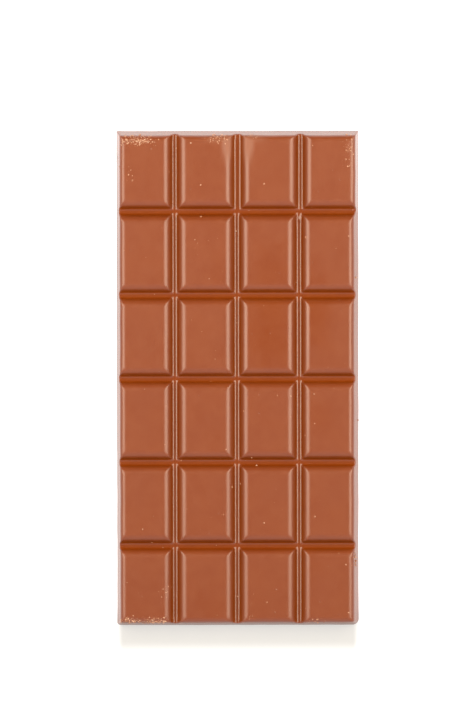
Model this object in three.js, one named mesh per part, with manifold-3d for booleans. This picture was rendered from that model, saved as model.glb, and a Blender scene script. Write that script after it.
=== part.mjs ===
// A moulded milk chocolate bar, lying on its flat back with the moulded face up.
//
// Millimetres, +Z up, +Y along the bar. The origin is the middle of the back face. The bar is one solid: a block
// whose walls lean in from the back by the mould's draft and turn over into the face with a soft round, cut by
// straight break grooves along and across. Where grooves cross, their walls meet in mitres, which leaves a grid
// of bevelled pieces. The grooves run out through the walls.

import * as THREE from "three";
import Module from "manifold-3d";
import { mergeVertices } from "three/addons/utils/BufferGeometryUtils.js";

// The block, measured at the back, where it is widest.
const LENGTH = 158;
const WIDTH = 77.1;
const THICKNESS = 7.0;
const DRAFT = THREE.MathUtils.degToRad(14); // how far the outer walls lean in from upright
const EDGE_RADIUS = 1.8; // round between an outer wall and the face
const CORNER_RADIUS = 1.2; // round of the four upright corners, seen from above
const BACK_RADIUS = 0.4; // small round where the walls meet the back

// The break grooves.
const COLUMNS = 4;
const ROWS = 6;
const COLUMN_PITCH = 19.75; // between the middles of two grooves that run along the bar
const ROW_PITCH = 26.65; // between the middles of two grooves that run across it
const GROOVE_DEPTH = 2.62; // of the grooves that run along the bar
const ACROSS_SHALLOWER = 0.04; // the grooves that run across it are this much less deep
const GROOVE_FLOOR = 0.6; // flat width at the bottom
const GROOVE_LEAN = THREE.MathUtils.degToRad(25); // how far a groove's walls lean out from upright
const FOOT_RADIUS = 0.7; // round between the groove's floor and its walls
const LIP_RADIUS = 2.8; // round between the groove's walls and the face

// How finely the rounds are divided.
const ROUND_STEP = THREE.MathUtils.degToRad(15);
const CORNER_STEPS = 4;
const GROOVE_STEPS = 4;

// How far the cutters reach past the block.
const OVERSHOOT = 2;

const MILK_CHOCOLATE = new THREE.MeshStandardMaterial({
  name: "milk_chocolate",
  color: new THREE.Color(0.41, 0.11, 0.045),
  roughness: 0.38,
  metalness: 0,
});

// A rectangle with rounded corners at height z, as a ring of points, counter-clockwise seen from above.
function roundedRectangle(width, length, z) {
  const ring = [];
  const signs = [
    [1, 1],
    [-1, 1],
    [-1, -1],
    [1, -1],
  ];
  signs.forEach(([signX, signY], quarter) => {
    for (let step = 0; step <= CORNER_STEPS; step++) {
      const angle = ((quarter + step / CORNER_STEPS) * Math.PI) / 2;
      const x = signX * (width / 2 - CORNER_RADIUS) + CORNER_RADIUS * Math.cos(angle);
      const y = signY * (length / 2 - CORNER_RADIUS) + CORNER_RADIUS * Math.sin(angle);
      ring.push(new THREE.Vector3(x, y, z));
    }
  });
  return ring;
}

// The directions that a round turns through, in equal steps of about ROUND_STEP.
function turnsBetween(from, to) {
  const count = Math.round((to - from) / ROUND_STEP);
  return Array.from({ length: count + 1 }, (_, step) => from + (step / count) * (to - from));
}

// The outer wall from back to face: at each height, how far the outline has come in from the widest one.
function wallProfile() {
  const backRound = turnsBetween(0, Math.PI / 2 + DRAFT).map((turn) => ({
    inset: BACK_RADIUS * (1 - Math.sin(turn)),
    z: BACK_RADIUS * (1 - Math.cos(turn)),
  }));
  const foot = backRound[backRound.length - 1];
  const shoulderZ = THICKNESS - EDGE_RADIUS * (1 - Math.sin(DRAFT));
  const shoulderInset = foot.inset + (shoulderZ - foot.z) * Math.tan(DRAFT);
  const edgeRound = turnsBetween(DRAFT, Math.PI / 2).map((turn) => ({
    inset: shoulderInset + EDGE_RADIUS * (Math.cos(DRAFT) - Math.cos(turn)),
    z: shoulderZ + EDGE_RADIUS * (Math.sin(turn) - Math.sin(DRAFT)),
  }));
  return [...backRound, ...edgeRound];
}

// Joins rings of equally many points into one closed surface, with a flat cap on the first and the last.
function loft(rings) {
  const count = rings[0].length;
  const positions = rings.flat().flatMap((point) => point.toArray());
  const index = [];
  for (let level = 0; level < rings.length - 1; level++) {
    for (let i = 0; i < count; i++) {
      const next = (i + 1) % count;
      const low = level * count;
      const high = low + count;
      index.push(low + i, low + next, high + next);
      index.push(low + i, high + next, high + i);
    }
  }
  const top = (rings.length - 1) * count;
  for (let i = 1; i < count - 1; i++) {
    index.push(0, i + 1, i);
    index.push(top, top + i, top + i + 1);
  }
  const geometry = new THREE.BufferGeometry();
  geometry.setAttribute("position", new THREE.Float32BufferAttribute(positions, 3));
  geometry.setIndex(index);
  return geometry;
}

// The bar before its grooves.
function makeBlock() {
  const rings = wallProfile().map(({ inset, z }) =>
    roundedRectangle(WIDTH - 2 * inset, LENGTH - 2 * inset, z),
  );
  return loft(rings);
}

// A groove's cross-section: x runs across the groove and y is height above the back.
function grooveSection(grooveDepth) {
  const floorZ = THICKNESS - grooveDepth;
  const steepness = Math.PI / 2 - GROOVE_LEAN; // angle between a groove's wall and its floor
  const footX = GROOVE_FLOOR / 2;
  const wallLowZ = floorZ + FOOT_RADIUS * (1 - Math.cos(steepness));
  const wallHighZ = THICKNESS - LIP_RADIUS * (1 - Math.cos(steepness));
  const wallLowX = footX + FOOT_RADIUS * Math.sin(steepness);
  const wallHighX = wallLowX + (wallHighZ - wallLowZ) / Math.tan(steepness);
  const lipX = wallHighX + LIP_RADIUS * Math.sin(steepness);
  const aboveZ = THICKNESS + OVERSHOOT;
  const quarter = Math.PI / 2;

  const section = new THREE.Shape();
  section.moveTo(-lipX, aboveZ);
  section.lineTo(-lipX, THICKNESS);
  section.absarc(-lipX, THICKNESS - LIP_RADIUS, LIP_RADIUS, quarter, quarter - steepness, true);
  section.absarc(-footX, floorZ + FOOT_RADIUS, FOOT_RADIUS, -quarter - steepness, -quarter, false);
  section.absarc(footX, floorZ + FOOT_RADIUS, FOOT_RADIUS, -quarter, steepness - quarter, false);
  section.absarc(lipX, THICKNESS - LIP_RADIUS, LIP_RADIUS, quarter + steepness, quarter, true);
  section.lineTo(lipX, aboveZ);
  section.closePath();
  return section;
}

// A straight cutter that runs along Y, a little further than the bar does, in the middle of its width.
function makeCutter(runLength, grooveDepth) {
  const depth = runLength + 2 * OVERSHOOT;
  const options = { depth, steps: 1, bevelEnabled: false, curveSegments: GROOVE_STEPS };
  const geometry = new THREE.ExtrudeGeometry(grooveSection(grooveDepth), options);
  geometry.rotateX(Math.PI / 2);
  geometry.translate(0, depth / 2, 0);
  return geometry;
}

// The places of a row of grooves, centred on the bar, one fewer than the pieces that they part.
function groovePlaces(pieces, pitch) {
  return Array.from({ length: pieces - 1 }, (_, i) => (i - (pieces - 2) / 2) * pitch);
}

// A closed geometry as a solid that can be cut.
function toSolid(wasm, geometry) {
  const bare = geometry.clone();
  bare.deleteAttribute("normal");
  bare.deleteAttribute("uv");
  const merged = mergeVertices(bare, 1e-4);
  const vertProperties = merged.attributes.position.array;
  const triVerts = new Uint32Array(merged.index.array);
  return new wasm.Manifold(new wasm.Mesh({ numProp: 3, vertProperties, triVerts }));
}

// A solid as a geometry that can be drawn.
function toGeometry(solid) {
  const mesh = solid.getMesh();
  const geometry = new THREE.BufferGeometry();
  geometry.setAttribute("position", new THREE.Float32BufferAttribute(mesh.vertProperties, 3));
  geometry.setIndex(new THREE.BufferAttribute(mesh.triVerts, 1));
  const flatShaded = geometry.toNonIndexed();
  flatShaded.computeVertexNormals();
  return flatShaded;
}

// The block with every groove cut into its face.
function makeBar(wasm) {
  let bar = toSolid(wasm, makeBlock());
  for (const x of groovePlaces(COLUMNS, COLUMN_PITCH)) {
    const along = makeCutter(LENGTH, GROOVE_DEPTH);
    bar = bar.subtract(toSolid(wasm, along.translate(x, 0, 0)));
  }
  for (const y of groovePlaces(ROWS, ROW_PITCH)) {
    const across = makeCutter(WIDTH, GROOVE_DEPTH - ACROSS_SHALLOWER).rotateZ(Math.PI / 2);
    bar = bar.subtract(toSolid(wasm, across.translate(0, y, 0)));
  }
  return new THREE.Mesh(toGeometry(bar), MILK_CHOCOLATE);
}

const wasm = await Module();
wasm.setup();

const part = new THREE.Group();
const bar = makeBar(wasm);
bar.name = "chocolate_bar";
part.add(bar);

export default part;
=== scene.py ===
# %% [markdown]
# # A bar of moulded milk chocolate
#
# The real bar is cast in one piece. Tempered chocolate is poured into a shallow mould, shaken level and
# left to set, so the face copies the mould and the back is whatever the shaking leaves. The face is
# scored by grooves into small bevelled pieces, so that the bar breaks where the eater wants it to.
#
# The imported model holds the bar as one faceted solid. It is the frame for everything here: its box gives
# the sizes, and the bar made below takes its place. It has the same grooves, but soft edges, small faults
# and a real surface.

# %% Load the frame
import math

import bpy
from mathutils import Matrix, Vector


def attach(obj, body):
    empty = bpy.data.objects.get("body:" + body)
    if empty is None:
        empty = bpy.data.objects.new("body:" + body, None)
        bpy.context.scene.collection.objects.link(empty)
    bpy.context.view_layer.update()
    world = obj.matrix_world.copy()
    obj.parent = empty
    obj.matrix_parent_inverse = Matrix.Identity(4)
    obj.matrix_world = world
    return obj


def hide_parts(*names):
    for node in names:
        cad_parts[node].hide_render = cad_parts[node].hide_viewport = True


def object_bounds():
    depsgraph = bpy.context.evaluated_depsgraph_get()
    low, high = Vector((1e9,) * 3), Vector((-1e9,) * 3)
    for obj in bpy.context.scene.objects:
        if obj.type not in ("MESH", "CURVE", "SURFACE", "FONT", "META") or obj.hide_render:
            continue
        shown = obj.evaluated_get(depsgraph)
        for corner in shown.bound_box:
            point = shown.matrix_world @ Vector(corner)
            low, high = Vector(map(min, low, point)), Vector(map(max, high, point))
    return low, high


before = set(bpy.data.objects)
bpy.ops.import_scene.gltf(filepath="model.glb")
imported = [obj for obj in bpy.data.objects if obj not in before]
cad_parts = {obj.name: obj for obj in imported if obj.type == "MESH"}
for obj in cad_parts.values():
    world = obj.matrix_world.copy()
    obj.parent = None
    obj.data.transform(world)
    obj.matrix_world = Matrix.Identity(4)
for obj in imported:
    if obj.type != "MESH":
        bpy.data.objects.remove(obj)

cad_low, cad_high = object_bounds()
print("the CAD box runs from", tuple(cad_low), "to", tuple(cad_high))

# %% [markdown]
# ## Sizes
#
# Length, width and thickness are those of the frame's box. The rest are the mould's own sizes: how far
# apart its ribs stand, how deep they reach and how their edges are rounded. The foot of a groove is a
# little rounder here than in the solid, and its floor a little narrower, so that the foot shows its thin
# line of light. Blender works in metres, so each size is written in millimetres times MM.

# %% The mould's sizes
MM = 0.001
WIDTH, LENGTH, THICKNESS = cad_high - cad_low
COLUMNS = 4
ROWS = 6
COLUMN_PITCH = 19.75 * MM
ROW_PITCH = 26.65 * MM
GROOVE_DEPTH = 2.62 * MM
GROOVE_FLOOR = 0.4 * MM
GROOVE_LEAN = math.radians(25)
FOOT_RADIUS = 0.95 * MM
LIP_RADIUS = 2.8 * MM
EDGE_RADIUS = 1.8 * MM
BACK_RADIUS = 0.4 * MM
DRAFT = math.radians(14)
TINY = 0.001 * MM  # a distance too small to count
print(f"the bar is {LENGTH / MM:.1f} x {WIDTH / MM:.1f} x {THICKNESS / MM:.1f} mm")
print("it has", COLUMNS, "x", ROWS, "pieces")

# %% [markdown]
# ## Writing nodes as expressions
#
# Both the shape and the surface are made by nodes. A formula with ten Math nodes is hard to read as ten
# calls, so a small class wraps an output socket and overloads Python's operators: a + b adds the node
# that does it and wraps its result. A second class wraps the tree and adds any other node, with its
# settings before its sockets, because some settings change which sockets there are.


# %% A value in a node tree
class Value:
    """A number that a node gives out. Arithmetic on it adds Math nodes to its tree."""

    def __init__(self, tree, socket):
        self.tree = tree
        self.socket = socket

    def __add__(self, other):
        return self.tree.math("ADD", self, other)

    def __radd__(self, other):
        return self.tree.math("ADD", other, self)

    def __sub__(self, other):
        return self.tree.math("SUBTRACT", self, other)

    def __rsub__(self, other):
        return self.tree.math("SUBTRACT", other, self)

    def __mul__(self, other):
        return self.tree.math("MULTIPLY", self, other)

    def __rmul__(self, other):
        return self.tree.math("MULTIPLY", other, self)

    def __truediv__(self, other):
        return self.tree.math("DIVIDE", self, other)

    def __rtruediv__(self, other):
        return self.tree.math("DIVIDE", other, self)

    def __neg__(self):
        return self.tree.math("MULTIPLY", self, -1.0)

    def __abs__(self):
        return self.tree.math("ABSOLUTE", self)

    def at_least(self, low):
        return self.tree.math("MAXIMUM", self, low)

    def at_most(self, high):
        return self.tree.math("MINIMUM", self, high)

    def between(self, low, high):
        return self.at_least(low).at_most(high)


# %% A node tree
class Tree:
    """A node tree, with one method that adds any node and a few for the ones used most."""

    def __init__(self, node_tree):
        self.node_tree = node_tree

    def add(self, kind, settings=None, sockets=None):
        """Adds a node. Settings are its properties; sockets are its inputs by name or number."""
        node = self.node_tree.nodes.new(kind)
        for name, setting in (settings or {}).items():
            setattr(node, name, setting)
        for name, given in (sockets or {}).items():
            if isinstance(given, Value):
                self.node_tree.links.new(given.socket, node.inputs[name])
            else:
                node.inputs[name].default_value = given
        return node

    def value(self, kind, settings=None, sockets=None, output=0):
        """Adds a node and wraps one of its outputs."""
        node = self.add(kind, settings, sockets)
        return Value(self, node.outputs[output])

    def math(self, operation, *numbers):
        return self.value("ShaderNodeMath", {"operation": operation}, dict(enumerate(numbers)))

    def vector(self, x, y, z):
        return self.value("ShaderNodeCombineXYZ", None, {"X": x, "Y": y, "Z": z})

    def parts(self, vector):
        """The X, Y and Z of a vector."""
        node = self.add("ShaderNodeSeparateXYZ", None, {"Vector": vector})
        return [Value(self, output) for output in node.outputs]

    def length(self, x, y):
        return self.math("SQRT", x * x + y * y)

    def smooth_step(self, value, low, high):
        """0 below low and 1 above high, with a soft turn between."""
        settings = {"interpolation_type": "SMOOTHSTEP"}
        sockets = {"Value": value, "From Min": low, "From Max": high}
        return self.value("ShaderNodeMapRange", settings, sockets)

    def mound(self, x, y, centre, reach):
        """1 at a centre, falling to nothing about twice the reach away from it."""
        across = (x - centre[0]) / reach[0]
        along = (y - centre[1]) / reach[1]
        return self.math("EXPONENT", -(across * across + along * along))


print("expressions ready")

# %% [markdown]
# ## Growing a mesh from a tree
#
# A Geometry Nodes tree is a recipe. Its group inputs are the sizes, and the modifier that runs it fills
# them in, each by its socket's identifier. Once the recipe has run, its result is copied into a plain
# mesh and the modifier goes away, so that the finished piece is only vertices and faces.

# %% Start a recipe and run it
SOCKET_KINDS = {float: "NodeSocketFloat", int: "NodeSocketInt", bpy.types.Material: "NodeSocketMaterial"}


def start_recipe(name, sizes):
    """A new Geometry Nodes tree with a named input for each size, and a wrapped value for each of them."""
    group = bpy.data.node_groups.new(name, "GeometryNodeTree")
    group.interface.new_socket("Surface", in_out="INPUT", socket_type="NodeSocketGeometry")
    for label, size in sizes.items():
        group.interface.new_socket(label, in_out="INPUT", socket_type=SOCKET_KINDS[type(size)])
    group.interface.new_socket("Piece", in_out="OUTPUT", socket_type="NodeSocketGeometry")
    tree = Tree(group)
    given = tree.add("NodeGroupInput")
    return tree, {output.name: Value(tree, output) for output in given.outputs if output.name}


def finish_recipe(tree, piece, material):
    """Ends a tree the way each one ends: no instances left, and one material."""
    real = tree.value("GeometryNodeRealizeInstances", None, {"Geometry": piece})
    painted = tree.value("GeometryNodeSetMaterial", None, {"Geometry": real, "Material": material})
    tree.add("NodeGroupOutput", None, {"Piece": painted})


def run_recipe(name, tree, sizes, surface=None):
    """Runs a tree on a copy of a surface, or on nothing, and keeps what comes out as a plain mesh."""
    piece = bpy.data.objects.new(name, surface.copy() if surface else bpy.data.meshes.new(name))
    bpy.context.scene.collection.objects.link(piece)
    recipe = piece.modifiers.new("recipe", "NODES")
    recipe.node_group = tree.node_tree
    for item in tree.node_tree.interface.items_tree:
        if item.in_out == "INPUT" and item.name in sizes:
            recipe[item.identifier] = sizes[item.name]
    evaluated = piece.evaluated_get(bpy.context.evaluated_depsgraph_get())
    mesh = bpy.data.meshes.new_from_object(evaluated)
    piece.modifiers.remove(recipe)
    piece.data = mesh
    mesh.name = name
    triangles = sum(len(face.vertices) - 2 for face in mesh.polygons)
    print(f"{name}: {len(mesh.vertices)} vertices, {triangles} triangles")
    return piece


# %% [markdown]
# ## The chocolate
#
# Milk chocolate is a warm, strongly coloured brown under a thin clear skin of cocoa butter. Where the bar
# let go of the mould late, the skin is glossier and shows its colour deep and clean; where it let go
# early, it is dull and looks paler. So the colour hardly changes over the bar, and the roughness does
# most of the work: a few broad glossier patches on a satin ground, finer mottling, and where an edge has
# crumbled, a dry, pale, grainy break. Nothing rubs inside the grooves, so their walls keep the mould's
# gloss. The lips of the middle groove are scuffed at its upper end.
#
# Everything reads Object coordinates, which are the bar's own metres. The places of the patches, of the
# scuffs and of the crumbled stretches are lists of soft mounds, and one function adds up a list.

# %% Where the bar is glossy, crumbled or scuffed
GLOSSY_PATCHES = (
    # middle x, y and reach in x, y, in millimetres, and how glossy
    (10.0, 14.0, 8.5, 13.0, 1.0),
    (11.0, 36.0, 8.0, 10.0, 0.55),
    (25.0, 22.0, 6.0, 14.0, 0.85),
    (26.0, -12.0, 7.0, 7.0, 0.45),
    (-5.0, 34.0, 5.0, 6.0, 0.4),
    (24.0, -58.0, 4.0, 5.0, 0.4),
    (-9.0, -72.0, 7.0, 5.0, 0.4),
)
CRUMBLED_EDGES = (
    # middle x, y and reach in x, y, in millimetres, and how broken
    (-31.7, 76.2, 4.2, 1.1, 1.5),
    (-6.4, 76.6, 2.4, 1.0, 1.0),
    (5.4, 77.4, 1.6, 0.5, 0.8),
    (35.6, 73.0, 1.5, 4.5, 0.45),
    (-38.2, 70.0, 0.6, 2.0, 1.0),
    (-34.0, -76.9, 2.4, 0.9, 1.6),
    (-26.5, -76.9, 3.2, 0.9, 1.6),
    (-23.2, -67.4, 1.0, 1.8, 0.5),
    (24.5, -76.6, 3.0, 1.0, 0.35),
    (4.0, -75.6, 1.5, 1.0, 0.3),
    (37.0, -57.5, 0.8, 2.5, 0.4),
    (-34.2, 66.5, 2.2, 4.5, 0.1),
    (-12.0, 43.5, 5.0, 4.0, 0.05),
)
SCUFFED_LIPS = (
    # middle x, y and reach in x, y, in millimetres, and how scuffed
    (-3.0, 74.5, 1.3, 4.4, 1.0),
    (3.2, 74.5, 1.6, 4.4, 1.0),
    (-7.0, 77.0, 3.0, 1.4, 0.5),
    (6.5, 77.0, 2.5, 1.4, 0.5),
)


def spread(tree, x, y, places):
    """The sum of soft mounds at places given in millimetres."""
    total = 0.0
    for middle_x, middle_y, reach_x, reach_y, strength in places:
        reach = (reach_x * MM, reach_y * MM)
        total = strength * tree.mound(x, y, (middle_x * MM, middle_y * MM), reach) + total
    return total


print(len(GLOSSY_PATCHES), "glossy patches and", len(CRUMBLED_EDGES), "crumbled stretches of edge")


# %% Milk chocolate
CHOCOLATE = (0.112, 0.0198, 0.0009, 1.0)
CHOCOLATE_PALE = (0.118, 0.0222, 0.0013, 1.0)
CHOCOLATE_BROKEN = (0.20, 0.075, 0.034, 1.0)
COCOA_BUTTER_IOR = 1.5

# How far each of these goes towards the broken colour.
SCUFF_TINT = 0.3
DUST_TINT = 0.45
BREAK_TINT = 0.5

# Roughness of each kind of surface.
SATIN = 0.37
GLOSSY = 0.3
SHELTERED = 0.24
SCUFFED = 0.6
BROKEN = 0.75
CLOUDING = 0.08  # how much the roughness varies within a patch

# Heights over the back. A groove is sheltered below the first pair; its lips are scuffed above the second.
SHELTER_FROM = THICKNESS - 1.9 * MM
SHELTER_TO = THICKNESS - 1.0 * MM
SCUFF_FROM = THICKNESS - 2.4 * MM
SCUFF_TO = THICKNESS - 1.5 * MM

# A break shows where the grit, lifted by how crumbled the place is, passes these levels.
BREAK_LIFT = 0.12
BREAK_LEVELS = (0.66, 0.74)
BREAK_REACH = (0.3, 0.7)  # and only where the place is this crumbled

# How the mottling colours and polishes the surface.
MOTTLE_SHARE = 0.6  # of the paler colour's pattern; the cloud has the rest
PALER_LEVELS = (0.35, 0.65)
GLOSS_MOTTLE = 0.5

# Widths and heights of the fine relief.
MOTTLE_WIDTH = 9 * MM
CLOUD_WIDTH = 3 * MM
CLOUD_HEIGHT = 0.02 * MM
GRAIN_WIDTH = 0.35 * MM
GRAIN_HEIGHT = 0.004 * MM
GRIT_WIDTH = 0.55 * MM
GRIT_HEIGHT = 0.05 * MM
BUBBLE_WIDTH = 0.28 * MM
BUBBLE_DEPTH = 0.05 * MM
BUBBLE_SPACING = 3.2 * MM
BUBBLE_SHARE = 0.5
DUST_WIDTH = 0.35 * MM
DUST_HEIGHT = 0.06 * MM
DUST_SPACING = 5.5 * MM
DUST_SHARE = 0.45


def noise(tree, place, grain, detail=2.0, seed=0.0):
    """Noise from 0 to 1 whose features are about a grain wide."""
    settings = {"noise_dimensions": "4D"}
    sockets = {"Vector": place, "W": seed, "Scale": 1.0 / grain, "Detail": detail, "Roughness": 0.55}
    return tree.value("ShaderNodeTexNoise", settings, sockets)


def specks(tree, place, spacing, size, share):
    """Round specks of about a size, one to each cell of a spacing, in a share of the cells."""
    cell = tree.add("ShaderNodeTexVoronoi", {"feature": "F1"}, {"Vector": place, "Scale": 1.0 / spacing})
    distance = Value(tree, cell.outputs["Distance"])
    chance, shrink, _ = tree.parts(Value(tree, cell.outputs["Color"]))
    radius = size / spacing * (0.5 + 0.5 * shrink)
    dot = 1.0 - tree.smooth_step(distance / radius, 0.5, 1.0)
    return dot * tree.math("LESS_THAN", chance, share)


def mix_colour(tree, factor, a, b):
    return tree.value("ShaderNodeMix", {"data_type": "RGBA"}, {0: factor, 6: a, 7: b}, output=2)


def bump_normal(tree, height):
    """The normal of a surface whose fine relief has this height in metres."""
    sockets = {"Strength": 1.0, "Distance": 1.0, "Height": height}
    return tree.value("ShaderNodeBump", None, sockets, "Normal")


def make_chocolate():
    """The bar's surface, from its broad patches down to its finest grain."""
    material = bpy.data.materials.new("milk_chocolate")
    material.use_nodes = True
    material.node_tree.nodes.clear()
    tree = Tree(material.node_tree)
    place = tree.value("ShaderNodeTexCoord", output="Object")
    x, y, z = tree.parts(place)

    mottle = noise(tree, place, MOTTLE_WIDTH, detail=3.0, seed=1.0)
    cloud = noise(tree, place, CLOUD_WIDTH, seed=2.0)
    grain = noise(tree, place, GRAIN_WIDTH, seed=3.0)
    grit = noise(tree, place, GRIT_WIDTH, seed=4.0)

    crumbled = spread(tree, x, y, CRUMBLED_EDGES).at_most(1.0)
    broken = tree.smooth_step(grit + crumbled * BREAK_LIFT, *BREAK_LEVELS)
    broken = broken * tree.smooth_step(crumbled, *BREAK_REACH)
    bubbles = specks(tree, place, BUBBLE_SPACING, BUBBLE_WIDTH, BUBBLE_SHARE)
    dust = specks(tree, place, DUST_SPACING, DUST_WIDTH, DUST_SHARE)

    # Each kind of surface takes over from the one before it, as far as its share.
    glossy = spread(tree, x, y, GLOSSY_PATCHES) + (mottle - 0.5) * GLOSS_MOTTLE
    roughness = SATIN + (GLOSSY - SATIN) * tree.smooth_step(glossy, 0.0, 1.0) + (cloud - 0.5) * CLOUDING
    scuffed = spread(tree, x, y, SCUFFED_LIPS).at_most(1.0) * tree.smooth_step(z, SCUFF_FROM, SCUFF_TO)
    sheltered = 1.0 - tree.smooth_step(z, SHELTER_FROM, SHELTER_TO)
    roughness = roughness + (SHELTERED - roughness) * sheltered
    roughness = roughness + (SCUFFED - roughness) * scuffed
    roughness = roughness + (BROKEN - roughness) * broken

    paler = tree.smooth_step(mottle * MOTTLE_SHARE + cloud * (1.0 - MOTTLE_SHARE), *PALER_LEVELS)
    colour = mix_colour(tree, paler, CHOCOLATE, CHOCOLATE_PALE)
    for tint in (scuffed * SCUFF_TINT, dust * DUST_TINT, broken * BREAK_TINT):
        colour = mix_colour(tree, tint, colour, CHOCOLATE_BROKEN)

    height = grain * GRAIN_HEIGHT + cloud * CLOUD_HEIGHT
    height = height - bubbles * BUBBLE_DEPTH + dust * DUST_HEIGHT + broken * GRIT_HEIGHT
    normal = bump_normal(tree, height)

    sockets = {"Base Color": colour, "Roughness": roughness, "Normal": normal, "IOR": COCOA_BUTTER_IOR}
    skin = tree.value("ShaderNodeBsdfPrincipled", None, sockets)
    tree.add("ShaderNodeOutputMaterial", None, {"Surface": skin})
    return material


milk_chocolate = make_chocolate()
print("material", milk_chocolate.name, "with", len(milk_chocolate.node_tree.nodes), "nodes")

# %% [markdown]
# ## The bar
#
# The face could be cut with booleans, as the solid was, but then every soft edge would need a bevel, and
# bevels fail where grooves cross. The shape follows a rule, so it is grown from the rule instead. A flat
# grid is draped over the block: its middle covers the face and its outer rings go down the walls, so the
# steep walls get as many vertices as they need. Then each vertex sinks to the height that the grooves
# leave there. The grid's lines are crowded together near the grooves, where the surface turns, and far
# apart on the flats.
#
# Where two grooves cross, a point belongs to the groove whose middle is nearer. Taking the smaller of the
# two distances gives a sharp mitre; taking a smooth minimum rounds its ridge, as the cutter that made the
# mould did.

# %% How finely the grid is divided
FACE_STEPS_ACROSS = 88
FACE_STEPS_ALONG = 186
EDGE_STEPS = 9
WALL_STEPS = 12
BACK_STEPS = 4
CROWDING = 0.55

wall_turn = math.pi / 2 - DRAFT
wall_height = THICKNESS - EDGE_RADIUS * (1 - math.cos(wall_turn)) - BACK_RADIUS * (1 + math.cos(wall_turn))
wall_inset = EDGE_RADIUS * math.sin(wall_turn) + BACK_RADIUS * (1 - math.sin(wall_turn))
wall_inset = wall_inset + wall_height * math.tan(DRAFT)


def even_reach(face_half, pitch):
    """How far the evenly spaced lines reach before crowding brings the last one to the face's edge."""
    reach = face_half
    # Each pass leaves at most the share CROWDING of the error, so sixty leave nothing that counts.
    for _ in range(60):
        reach = face_half + CROWDING * pitch / math.tau * math.sin(math.tau * reach / pitch)
    return reach


STEP_ACROSS = even_reach(WIDTH / 2 - wall_inset, COLUMN_PITCH) / FACE_STEPS_ACROSS
STEP_ALONG = even_reach(LENGTH / 2 - wall_inset, ROW_PITCH) / FACE_STEPS_ALONG
print(f"grid lines every {STEP_ACROSS / MM:.2f} x {STEP_ALONG / MM:.2f} mm")
print(f"in the middle of a groove they are {1 - CROWDING:.2f} as far apart")

# %% The sizes that the bar's recipe takes
bar_sizes = {
    "Width": WIDTH,
    "Length": LENGTH,
    "Thickness": THICKNESS,
    "Draft": DRAFT,
    "Edge Radius": EDGE_RADIUS,
    "Back Radius": BACK_RADIUS,
    "Columns": COLUMNS,
    "Rows": ROWS,
    "Column Pitch": COLUMN_PITCH,
    "Row Pitch": ROW_PITCH,
    "Groove Depth": GROOVE_DEPTH,
    "Groove Floor": GROOVE_FLOOR,
    "Groove Lean": GROOVE_LEAN,
    "Foot Radius": FOOT_RADIUS,
    "Lip Radius": LIP_RADIUS,
    "Ridge Softness": 0.32 * MM,
    "Upper Corner Radius": 0.5 * MM,
    "Lower Corner Radius": 1.5 * MM,
    "Corner Difference": 0.5 * MM,
    "Crowding": CROWDING,
    "Face Steps Across": FACE_STEPS_ACROSS,
    "Face Steps Along": FACE_STEPS_ALONG,
    "Step Across": STEP_ACROSS,
    "Step Along": STEP_ALONG,
    "Edge Steps": EDGE_STEPS,
    "Wall Steps": WALL_STEPS,
    "Back Steps": BACK_STEPS,
    "Waviness": 0.035 * MM,
    "Rim Wander": 0.13 * MM,
    "Chip Grain": 0.8 * MM,
    "Chip Depth": 1.6 * MM,
    "Face Shift": -0.24 * MM,
    "Groove Shift": 0.25 * MM,
    "Jog": 0.5 * MM,
    "Seed": 11,
    "Chocolate": milk_chocolate,
}
bar_tree, given = start_recipe("moulded_bar", bar_sizes)
print(len(bar_sizes), "named inputs")

# %% [markdown]
# ### Draping the grid
#
# The grid starts with its vertices one unit apart, so a vertex's place is also its number, counted from
# the middle. Numbers up to the face's steps lie on the face. Past them, the larger of the two counts says
# which ring of the wall a vertex is on, and the ring says how far out and how far down it has gone: round
# the edge, down the wall and round to the back.


# %% Rings of the wall
def grid_counts(tree, given):
    """The flat grid, and each vertex's count from the middle across and along."""
    wall_steps = given["Edge Steps"] + given["Wall Steps"] + given["Back Steps"]
    across = (given["Face Steps Across"] + wall_steps) * 2.0
    along = (given["Face Steps Along"] + wall_steps) * 2.0
    sockets = {"Size X": across, "Size Y": along, "Vertices X": across + 1.0, "Vertices Y": along + 1.0}
    grid = tree.value("GeometryNodeMeshGrid", None, sockets)
    count_x, count_y, _ = tree.parts(tree.value("GeometryNodeInputPosition"))
    return grid, tree.math("ROUND", count_x), tree.math("ROUND", count_y)


def wall_path(tree, given, ring):
    """How far out and how far down the wall has gone at a ring."""
    half_pi = math.pi / 2
    wall_turn = half_pi - given["Draft"]
    edge = given["Edge Radius"]
    back = given["Back Radius"]
    cos_wall = tree.math("COSINE", wall_turn)
    sin_wall = tree.math("SINE", wall_turn)
    height = given["Thickness"] - edge * (1.0 - cos_wall) - back * (1.0 + cos_wall)

    edge_turn = (ring / given["Edge Steps"]).at_most(1.0) * wall_turn
    past_edge = ring - given["Edge Steps"]
    share = (past_edge / given["Wall Steps"]).between(0.0, 1.0)
    back_share = ((past_edge - given["Wall Steps"]) / given["Back Steps"]).between(0.0, 1.0)
    back_turn = wall_turn + back_share * (math.pi - wall_turn)

    slope = tree.math("TANGENT", given["Draft"])
    out = edge * tree.math("SINE", edge_turn) + height * slope * share
    out = out + back * (tree.math("SINE", back_turn) - sin_wall)
    down = edge * (1.0 - tree.math("COSINE", edge_turn)) + height * share
    down = down + back * (cos_wall - tree.math("COSINE", back_turn))
    return out, down


def crowded(tree, even, pitch, crowding):
    """Moves evenly spaced places towards the grooves, which are a pitch apart."""
    turn = math.tau / pitch
    return even - tree.math("SINE", even * turn) * crowding / turn


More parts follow.
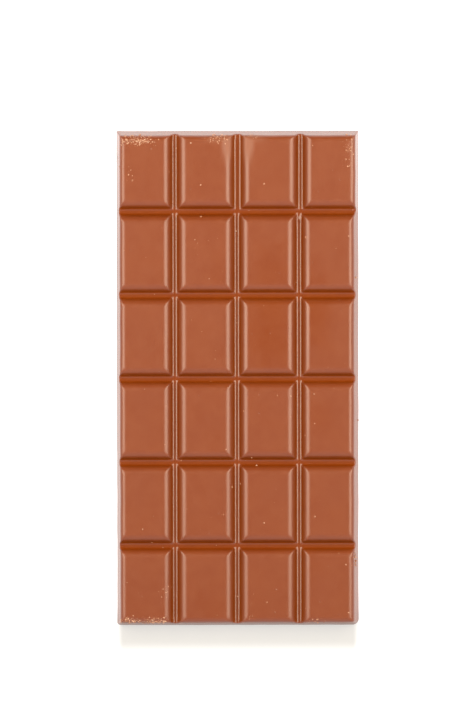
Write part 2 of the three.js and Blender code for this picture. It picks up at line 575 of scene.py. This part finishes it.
def drape(tree, given):
    """The grid, and each vertex's place across and along, height on the ungrooved block and ring."""
    grid, count_x, count_y = grid_counts(tree, given)
    steps_x = given["Face Steps Across"]
    steps_y = given["Face Steps Along"]
    over_x = (abs(count_x) - steps_x).at_least(0.0)
    over_y = (abs(count_y) - steps_y).at_least(0.0)
    ring = over_x.at_least(over_y)
    out, down = wall_path(tree, given, ring)
    share = out / ring.at_least(1.0)
    side_x = tree.math("SIGN", count_x)
    side_y = tree.math("SIGN", count_y)
    even_x = abs(count_x).at_most(steps_x) * given["Step Across"]
    even_y = abs(count_y).at_most(steps_y) * given["Step Along"]
    reach_x = crowded(tree, even_x, given["Column Pitch"], given["Crowding"]) + share * over_x
    reach_y = crowded(tree, even_y, given["Row Pitch"], given["Crowding"]) + share * over_y
    reach_x, reach_y = round_corners(tree, given, reach_x, reach_y, side_x, side_y)
    return grid, reach_x * side_x, reach_y * side_y, given["Thickness"] - down, ring


def round_corners(tree, given, reach_x, reach_y, side_x, side_y):
    """Turns the square corners of each ring into arcs. Each corner of the bar has its own radius."""
    upper = (side_y + 1.0) / 2.0
    lower_radius = given["Lower Corner Radius"] + given["Corner Difference"] * side_x
    radius = given["Upper Corner Radius"] * upper + lower_radius * (1.0 - upper)
    centre_x = given["Width"] / 2.0 - radius
    centre_y = given["Length"] / 2.0 - radius
    past_x = (reach_x - centre_x).at_least(0.0)
    past_y = (reach_y - centre_y).at_least(0.0)
    shrink = past_x.at_least(past_y) / tree.length(past_x, past_y).at_least(TINY)
    shrink = tree.value(
        "GeometryNodeSwitch",
        {"input_type": "FLOAT"},
        {"Switch": tree.math("GREATER_THAN", past_x.at_most(past_y), 0.0), "False": 1.0, "True": shrink},
    )
    return reach_x - past_x * (1.0 - shrink), reach_y - past_y * (1.0 - shrink)


grid, x, y, block_height, ring = drape(bar_tree, given)
print("draped", FACE_STEPS_ACROSS * 2 + 1, "x", FACE_STEPS_ALONG * 2 + 1, "vertices over the face")

# %% [markdown]
# ### Scoring the grooves
#
# A groove's wall rises from its floor in three stretches: a small round at the foot, a straight slope,
# and the large round of the lip. Each stretch adds its own rise, so their sum is the whole profile at any
# distance from the groove's middle.


# %% The groove's profile
def nearest_groove(tree, place, pitch, pieces):
    """The distance from a place to the middle of the nearest groove."""
    last = (pieces - 2.0) / 2.0  # there is one groove fewer than pieces, and they are centred
    number = tree.math("ROUND", place / pitch)
    number = tree.math("MAXIMUM", number, -last).at_most(last)
    return abs(place - number * pitch)


def groove_rise(tree, given, distance):
    """How high the surface stands over a groove's floor at a distance from its middle."""
    steepness = math.pi / 2 - given["Groove Lean"]
    sin_slope = tree.math("SINE", steepness)
    cos_slope = tree.math("COSINE", steepness)
    foot = given["Foot Radius"]
    lip = given["Lip Radius"]
    foot_run = foot * sin_slope
    lip_run = lip * sin_slope
    slope_rise = given["Groove Depth"] - (foot + lip) * (1.0 - cos_slope)
    slope_run = slope_rise * cos_slope / sin_slope

    from_floor = distance - given["Groove Floor"] / 2.0
    on_foot = from_floor.between(0.0, foot_run)
    on_slope = (from_floor - foot_run).between(0.0, slope_run)
    on_lip = (from_floor - foot_run - slope_run).between(0.0, lip_run)
    to_top = lip_run - on_lip
    foot_rise = foot - tree.math("SQRT", foot * foot - on_foot * on_foot)
    lip_rise = tree.math("SQRT", lip * lip - to_top * to_top) - lip * cos_slope
    return foot_rise + on_slope * sin_slope / cos_slope + lip_rise


rounds = FOOT_RADIUS + LIP_RADIUS
straight_rise = GROOVE_DEPTH - rounds * (1 - math.sin(GROOVE_LEAN))
groove_width = GROOVE_FLOOR + 2 * (straight_rise * math.tan(GROOVE_LEAN) + rounds * math.cos(GROOVE_LEAN))
print(f"a groove is {groove_width / MM:.1f} mm wide at the face")
print(f"its wall is straight for {straight_rise / MM:.2f} mm of its height")

# %% [markdown]
# ### Small faults
#
# No two bars are the same. On this one the lips at the upper end of the middle groove are rubbed lower, a
# ridge is knocked, and a little stray chocolate sits in one crossing. Its edges are chipped along the
# crumbled stretches. The face sits a little to one side of the back, as if the mould's two walls leaned
# unequally, and the right half of the top row stands half a millimetre out of line with the rest. The
# grooves across sit a quarter of a millimetre nearer the upper end than even rows would have them. The
# flats are never quite flat: the shrinking chocolate leaves shallow waves that show only in the
# reflections.
#
# Everything that changes a height fades out down the wall, so that the back's border stays flat.

# %% Rubs, knocks and waves
RUBBED = (
    # middle x, y and reach in x, y, in millimetres, and how much is gone or, below zero, how much is added
    (-3.0, 75.0, 1.3, 4.6, 0.32),
    (3.0, 75.0, 1.4, 4.6, 0.32),
    (2.7, 51.7, 0.5, 0.5, 0.25),
    (20.2, 51.4, 0.5, 0.8, -0.2),
    (19.6, 50.2, 0.6, 0.6, -0.1),
    (-12.0, 79.0, 2.0, 1.0, 0.15),
)
LONG_WAVE = 14 * MM
SHORT_WAVE = 4 * MM
RIM_WAVE = 9 * MM
SHORT_SHARE = 0.35  # height of the short waves beside that of the long ones
CHIP_LEVEL = 0.45  # noise below this level doesn't chip
JOG_FADE_ALONG = 0.6 * MM
JOG_FADE_ACROSS = 0.3 * MM


def waves(tree, place, length, seed):
    """Slow noise from -1 to 1."""
    return (noise(tree, place, length, detail=1.0, seed=seed) - 0.5) * 2.0


def groove_height(tree, given, x, y):
    """The height that the grooves leave at a place on the face."""
    to_column = nearest_groove(tree, x, given["Column Pitch"], given["Columns"])
    to_row = nearest_groove(tree, y - given["Groove Shift"], given["Row Pitch"], given["Rows"])
    distance = tree.math("SMOOTH_MIN", to_column, to_row, given["Ridge Softness"])
    return given["Thickness"] - given["Groove Depth"] + groove_rise(tree, given, distance)


def settle(tree, given, x, y, height, ring):
    """Adds what wear and shrinkage do to a height on the face. The back's border stays where it is."""
    flat_place = tree.vector(x, y, 0.0)
    on_face = 1.0 - tree.smooth_step(ring, 0.0, given["Edge Steps"] + given["Wall Steps"])
    long_wave = waves(tree, flat_place, LONG_WAVE, given["Seed"])
    short_wave = waves(tree, flat_place, SHORT_WAVE, given["Seed"] + 1.0)
    height = height + (long_wave + short_wave * SHORT_SHARE) * given["Waviness"] * on_face
    chips = noise(tree, flat_place, given["Chip Grain"], seed=given["Seed"] + 4.0)
    chips = (chips - CHIP_LEVEL).at_least(0.0)
    crumbled = spread(tree, x, y, CRUMBLED_EDGES).at_most(1.0)
    height = height - chips * crumbled * given["Chip Depth"] * on_face
    return height - spread(tree, x, y, RUBBED) * MM * on_face


def slip(tree, given, x, y, ring):
    """Moves the face sideways over its back, and the right half of the top row the other way."""
    last_groove = (given["Rows"] / 2.0 - 1.0) * given["Row Pitch"]
    upper = tree.smooth_step(y, last_groove - JOG_FADE_ALONG, last_groove + JOG_FADE_ALONG)
    right = tree.smooth_step(x, -JOG_FADE_ACROSS, JOG_FADE_ACROSS)
    last_wall_ring = given["Edge Steps"] + given["Wall Steps"]
    on_face = 1.0 - tree.smooth_step(ring, given["Edge Steps"] * 0.5, last_wall_ring)
    return x + (given["Face Shift"] + given["Jog"] * upper * right) * on_face


def wander(tree, given, x, y, ring):
    """Lets the outer wall wander a little, as a rim that set in thin chocolate does."""
    flat_place = tree.vector(x, y, 0.0)
    on_rim = tree.smooth_step(ring, 0.0, given["Edge Steps"] * 0.6)
    shift_x = waves(tree, flat_place, RIM_WAVE, given["Seed"] + 2.0) * given["Rim Wander"] * on_rim
    shift_y = waves(tree, flat_place, RIM_WAVE, given["Seed"] + 3.0) * given["Rim Wander"] * on_rim
    return slip(tree, given, x, y, ring) + shift_x, y + shift_y


lowered = block_height.at_most(groove_height(bar_tree, given, x, y))
height = settle(bar_tree, given, x, y, lowered, ring)
rim_x, rim_y = wander(bar_tree, given, x, y, ring)
print("grooves scored and", len(RUBBED), "faults made")

# %% [markdown]
# ### Softening the run-outs and closing the back
#
# Where a groove runs out through the wall, its edges would be knife sharp. A blur of the vertex
# positions, on the wall only, rounds them. The back is a flat fill of the last ring's outline, turned
# over to face down and merged with the ring, so that the shell is closed.


# %% Soften, close and finish
def soften(tree, given, shaped, ring):
    """Blurs the positions on the wall. The last rings keep theirs, because the back joins there."""
    position = tree.value("GeometryNodeInputPosition")
    last = given["Edge Steps"] + given["Wall Steps"]
    on_wall = tree.smooth_step(ring, 0.0, 2.0) * (1.0 - tree.smooth_step(ring, last - 2.0, last))
    settings = {"data_type": "FLOAT_VECTOR"}
    sockets = {"Value": position, "Iterations": 2, "Weight": on_wall}
    blurred = tree.value("GeometryNodeBlurAttribute", settings, sockets)
    return tree.value("GeometryNodeSetPosition", None, {"Geometry": shaped, "Position": blurred})


def close_back(tree, shaped):
    """Fills the open outline at the back and merges the fill with the shell."""
    neighbours = tree.value("GeometryNodeInputMeshEdgeNeighbors")
    is_border = tree.math("LESS_THAN", neighbours, 1.5)
    outline = tree.value("GeometryNodeMeshToCurve", None, {"Mesh": shaped, "Selection": is_border})
    back = tree.value("GeometryNodeFillCurve", None, {"Curve": outline})
    back = tree.value("GeometryNodeFlipFaces", None, {"Mesh": back})
    back = tree.value("GeometryNodeSetShadeSmooth", None, {"Geometry": back, "Shade Smooth": False})
    face = tree.value("GeometryNodeSetShadeSmooth", None, {"Geometry": shaped, "Shade Smooth": True})
    both = tree.add("GeometryNodeJoinGeometry")
    tree.node_tree.links.new(back.socket, both.inputs[0])
    tree.node_tree.links.new(face.socket, both.inputs[0])
    joined = Value(tree, both.outputs[0])
    return tree.value("GeometryNodeMergeByDistance", None, {"Geometry": joined, "Distance": TINY})


stored = bar_tree.value(
    "GeometryNodeStoreNamedAttribute",
    {"data_type": "FLOAT", "domain": "POINT"},
    {"Geometry": grid, "Name": "ring", "Value": ring},
)
kept_ring = bar_tree.value("GeometryNodeInputNamedAttribute", {"data_type": "FLOAT"}, {"Name": "ring"})
shaped = bar_tree.value(
    "GeometryNodeSetPosition",
    None,
    {"Geometry": stored, "Position": bar_tree.vector(rim_x, rim_y, height)},
)
softened = soften(bar_tree, given, shaped, kept_ring)
closed = close_back(bar_tree, softened)
finish_recipe(bar_tree, closed, given["Chocolate"])
chocolate_bar = run_recipe("milk_chocolate_bar", bar_tree, bar_sizes)

# %% Give the bar its place in the frame
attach(chocolate_bar, "root")
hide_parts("chocolate_bar")
print("the bar is", [round(side / MM, 2) for side in chocolate_bar.dimensions], "mm")

# %% [markdown]
# ## Crumbs
#
# Where an edge crumbles, some of what came off stays, and the bar's own dust lies thinly all over it.
# There are hundreds of these grains, so each one is a ball of only eighty faces, squashed, turned and
# sized at random. A second tree scatters them over the finished bar: a few anywhere, many along the
# crumbled stretches. Most are small and a few are several times as large, which is why the random share
# is cubed. The seeds are fixed, so they fall in the same places each time.

# %% The dry surface of a crumb
# partly painted glint: this pale crumb colour is dry chocolate's own, lightened further to stand in for
# glints
CRUMB_PALE_AND_GLINT = (0.34, 0.195, 0.13, 1.0)
CRUMB_PATCH_WIDTH = 1.2 * MM
CRUMB_GRIT_WIDTH = 0.06 * MM
CRUMB_GRIT_HEIGHT = 0.02 * MM
CRUMB_CLOUDING = 0.2


def make_crumbled():
    """Chocolate where it has broken: no skin of cocoa butter, so it scatters light and looks pale. Its
    paler patches are also lightened further as a painted glint.
    """
    material = bpy.data.materials.new("crumbled_chocolate")
    material.use_nodes = True
    material.node_tree.nodes.clear()
    tree = Tree(material.node_tree)
    place = tree.value("ShaderNodeTexCoord", output="Object")
    patch = tree.smooth_step(noise(tree, place, CRUMB_PATCH_WIDTH, seed=5.0), 0.35, 0.65)
    grit = noise(tree, place, CRUMB_GRIT_WIDTH, seed=6.0)
    colour = mix_colour(tree, patch, CHOCOLATE_BROKEN, CRUMB_PALE_AND_GLINT)
    normal = bump_normal(tree, grit * CRUMB_GRIT_HEIGHT)
    roughness = BROKEN + (grit - 0.5) * CRUMB_CLOUDING
    sockets = {"Base Color": colour, "Roughness": roughness, "Normal": normal, "IOR": COCOA_BUTTER_IOR}
    dry = tree.value("ShaderNodeBsdfPrincipled", None, sockets)
    tree.add("ShaderNodeOutputMaterial", None, {"Surface": dry})
    return material


crumbled_chocolate = make_crumbled()
print("material", crumbled_chocolate.name, "with", len(crumbled_chocolate.node_tree.nodes), "nodes")

# %% The sizes that the crumbs' recipe takes
crumb_sizes = {
    "Loose Per Square Metre": 12000.0,
    "Crumbled Per Square Metre": 9000000.0,
    "Smallest": 0.05 * MM,
    "Largest": 0.3 * MM,
    "Narrowest": 0.6,
    "Widest": 1.4,
    "Flattest": 0.35,
    "Tallest": 0.65,
    "Most Tilt": 0.3,
    "Seed": 5,
    "Chocolate": crumbled_chocolate,
}
crumb_tree, given = start_recipe("scattered_crumbs", crumb_sizes)

# %% Scatter the crumbs
FACING_UP = 0.25  # grains lie only where the surface's normal points up by more than this
FAINTEST = 0.02  # a mound's tail below this strength drops no crumbs


def scatter(tree, given):
    """Points on the upper side of the surface: a few anywhere, many along the crumbled stretches."""
    x, y, _ = tree.parts(tree.value("GeometryNodeInputPosition"))
    _, _, up = tree.parts(tree.value("GeometryNodeInputNormal"))
    crumbled = (spread(tree, x, y, CRUMBLED_EDGES) - FAINTEST).at_least(0.0)
    density = given["Loose Per Square Metre"] + crumbled * given["Crumbled Per Square Metre"]
    density = density * tree.math("GREATER_THAN", up, FACING_UP)
    sockets = {"Mesh": given["Surface"], "Density": density, "Seed": given["Seed"]}
    return tree.value("GeometryNodeDistributePointsOnFaces", {"distribute_method": "RANDOM"}, sockets)


def random_number(tree, given, low, high, step):
    """A number for each point, from a seed of its own."""
    sockets = {2: low, 3: high, "Seed": given["Seed"] + step}
    return tree.value("FunctionNodeRandomValue", {"data_type": "FLOAT"}, sockets, output=1)


def crumbs(tree, given):
    """A squashed and turned ball at each point."""
    points = scatter(tree, given)
    ball = tree.value("GeometryNodeMeshIcoSphere", None, {"Radius": 1.0, "Subdivisions": 2})
    share = random_number(tree, given, 0.0, 1.0, 1.0)
    size = given["Smallest"] + share * share * share * (given["Largest"] - given["Smallest"])
    wide = size * random_number(tree, given, given["Narrowest"], given["Widest"], 2.0)
    flat = size * random_number(tree, given, given["Flattest"], given["Tallest"], 3.0)
    tilt = given["Most Tilt"]
    turn = tree.vector(
        random_number(tree, given, -tilt, tilt, 4.0),
        random_number(tree, given, -tilt, tilt, 5.0),
        random_number(tree, given, 0.0, math.tau, 6.0),
    )
    sockets = {"Points": points, "Instance": ball, "Rotation": turn, "Scale": tree.vector(wide, size, flat)}
    return tree.value("GeometryNodeInstanceOnPoints", None, sockets)


finish_recipe(crumb_tree, crumbs(crumb_tree, given), given["Chocolate"])
bar_crumbs = run_recipe("crumbs", crumb_tree, crumb_sizes, chocolate_bar.data)
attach(bar_crumbs, "root")

# %% [markdown]
# ## The camera
#
# The bar is seen from almost straight above, with a long lens, so that its sides stay nearly parallel.

# %% Camera
SENSOR = 36 * MM
CAMERA_DISTANCE = 2.2
CAMERA_TILT = math.radians(4.0)
CAMERA_ROLL = math.radians(-0.08)
SEEN_LENGTH = 225.66 * MM
AIM = Vector((0.0, 7.92 * MM, THICKNESS))


def place_camera():
    data = bpy.data.cameras.new("camera")
    data.sensor_width = SENSOR / MM
    data.lens = SENSOR / MM * CAMERA_DISTANCE / SEEN_LENGTH
    camera = bpy.data.objects.new("camera", data)
    bpy.context.scene.collection.objects.link(camera)
    away = Vector((0.0, math.sin(CAMERA_TILT), math.cos(CAMERA_TILT)))
    camera.location = AIM + away * CAMERA_DISTANCE
    camera.rotation_euler = (-CAMERA_TILT, 0.0, CAMERA_ROLL)
    bpy.context.scene.camera = camera
    return camera


camera = place_camera()
print(f"camera {CAMERA_DISTANCE:.2f} m away, {camera.data.lens:.0f} mm lens")

# %% [markdown]
# ## The studio
#
# The bar lies on a white table in a white room. Two long soft boxes stand left and right, 40 degrees from
# straight above, and draw a bright line along each lip and a thin one along the foot of each groove. The
# room is bright at the horizon and above the front, and dark straight above and behind, so that walls
# that face the front are told from those that face the back.
#
# The table's paint is dark and its white is a glow, so that the boxes cast almost no shadow on it. A
# painted shadow makes the glow weaker in a soft strip just in front of the bar, and painted light makes it
# stronger towards the back.

# %% Table, soft boxes and room
BOX_RADIANCE = 9.3
BOX_ANGLE = math.radians(40)
BOX_DISTANCE = 0.62
BOX_SPREAD = math.radians(40)
BOX_LENGTH = 0.72
BOX_SHIFT = 0.185
WARM_WHITE = (1.0, 0.88, 0.70)
HORIZON_RADIANCE = 1.5
FRONT_RADIANCE = 1.35
BACK_RADIANCE = 0.08
FRONT_TO_BACK = (-0.6, 0.0)  # the room above fades from front to back between these Y parts of a direction
HORIZON_TO_ABOVE = (0.1, 0.3)  # and from the horizon to what is above between these Z parts
TABLE_HALF = 3.0
TABLE_DROP = 0.02 * MM  # the table lies this far under the bar's back
TABLE_PAINT = (0.12, 0.12, 0.12, 1.0)
TABLE_ROUGHNESS = 0.6
TABLE_GLOW = 1.35
# painted shadow: the glow is weaker in a strip in front of the bar, standing in for the bar's shadow
TABLE_PAINTED_SHADOW = 0.65  # the share of the glow that the shade takes away
SHADE_BEGINS = (-8 * MM, -1 * MM)  # distances in front of the bar over which the shade comes up
SHADE_ENDS = (5 * MM, 14 * MM)  # and over which it fades
SHADE_SIDES = (WIDTH / 2 - 2 * MM, WIDTH / 2 + 2.5 * MM)  # and, from the middle, where its sides fade
# painted light: the table's glow is made stronger towards the back
TABLE_PAINTED_LIGHT = 0.4  # how much stronger the glow is towards the back
PAINTED_LIGHT_RISES = (35 * MM, 95 * MM)  # places along the bar over which it becomes stronger


def table_glow(tree):
    """How strongly the table glows at each place, with a painted shadow in front of the bar and painted
    light towards the back.
    """
    x, y, _ = tree.parts(tree.value("ShaderNodeTexCoord", output="Object"))
    front = -LENGTH / 2 - y
    # painted shadow of the bar on the table, in front of it and fading at its sides
    shade = tree.smooth_step(front, *SHADE_BEGINS) * (1.0 - tree.smooth_step(front, *SHADE_ENDS))
    shade = shade * (1.0 - tree.smooth_step(abs(x), *SHADE_SIDES))
    # painted light, stronger towards the back
    painted_light = 1.0 + TABLE_PAINTED_LIGHT * tree.smooth_step(y, *PAINTED_LIGHT_RISES)
    return TABLE_GLOW * painted_light * (1.0 - TABLE_PAINTED_SHADOW * shade)


def make_table():
    """One large square face under the bar."""
    signs = ((-1, -1), (1, -1), (1, 1), (-1, 1))
    corners = [(x * TABLE_HALF, y * TABLE_HALF, -TABLE_DROP) for x, y in signs]
    mesh = bpy.data.meshes.new("table")
    mesh.from_pydata(corners, [], [(0, 1, 2, 3)])
    table = bpy.data.objects.new("table", mesh)
    bpy.context.scene.collection.objects.link(table)
    white = bpy.data.materials.new("white_table")
    white.use_nodes = True
    paint = white.node_tree.nodes["Principled BSDF"]
    paint.inputs["Base Color"].default_value = TABLE_PAINT
    paint.inputs["Roughness"].default_value = TABLE_ROUGHNESS
    tree = Tree(white.node_tree)
    glow = table_glow(tree)
    tree.node_tree.links.new(tree.vector(glow, glow, glow).socket, paint.inputs["Emission Color"])
    paint.inputs["Emission Strength"].default_value = 1.0
    mesh.materials.append(white)
    return table


def make_soft_box(side):
    """A rectangular light at one side of the bar, turned to face it."""
    data = bpy.data.lights.new("soft_box", "AREA")
    data.shape = "RECTANGLE"
    data.size = 2 * BOX_DISTANCE * math.tan(BOX_SPREAD / 2)
    data.size_y = BOX_LENGTH
    data.energy = BOX_RADIANCE * data.size * data.size_y * math.pi
    data.color = WARM_WHITE
    light = bpy.data.objects.new("soft_box", data)
    out = side * BOX_DISTANCE * math.sin(BOX_ANGLE)
    light.location = (out, BOX_SHIFT, BOX_DISTANCE * math.cos(BOX_ANGLE))
    light.rotation_euler = (0.0, side * BOX_ANGLE, 0.0)
    light.visible_camera = False
    bpy.context.scene.collection.objects.link(light)
    return light


def make_room():
    """The light that comes from everywhere: a bright horizon, a bright front and a dark back."""
    world = bpy.data.worlds.new("room")
    world.use_nodes = True
    world.node_tree.nodes.clear()
    tree = Tree(world.node_tree)
    direction = tree.value("ShaderNodeTexCoord", output="Generated")
    _, back, up = tree.parts(direction)
    above = FRONT_RADIANCE + tree.smooth_step(back, *FRONT_TO_BACK) * (BACK_RADIANCE - FRONT_RADIANCE)
    strength = HORIZON_RADIANCE + tree.smooth_step(up, *HORIZON_TO_ABOVE) * (above - HORIZON_RADIANCE)
    sockets = {"Color": (1.0, 1.0, 1.0, 1.0), "Strength": strength}
    background = tree.value("ShaderNodeBackground", None, sockets)
    tree.add("ShaderNodeOutputWorld", None, {"Surface": background})
    bpy.context.scene.world = world


make_table()
soft_boxes = [make_soft_box(side) for side in (-1, 1)]
make_room()
bpy.context.scene.view_settings.view_transform = "Standard"
print("lights", [(light.name, round(light.location.x, 2)) for light in soft_boxes])
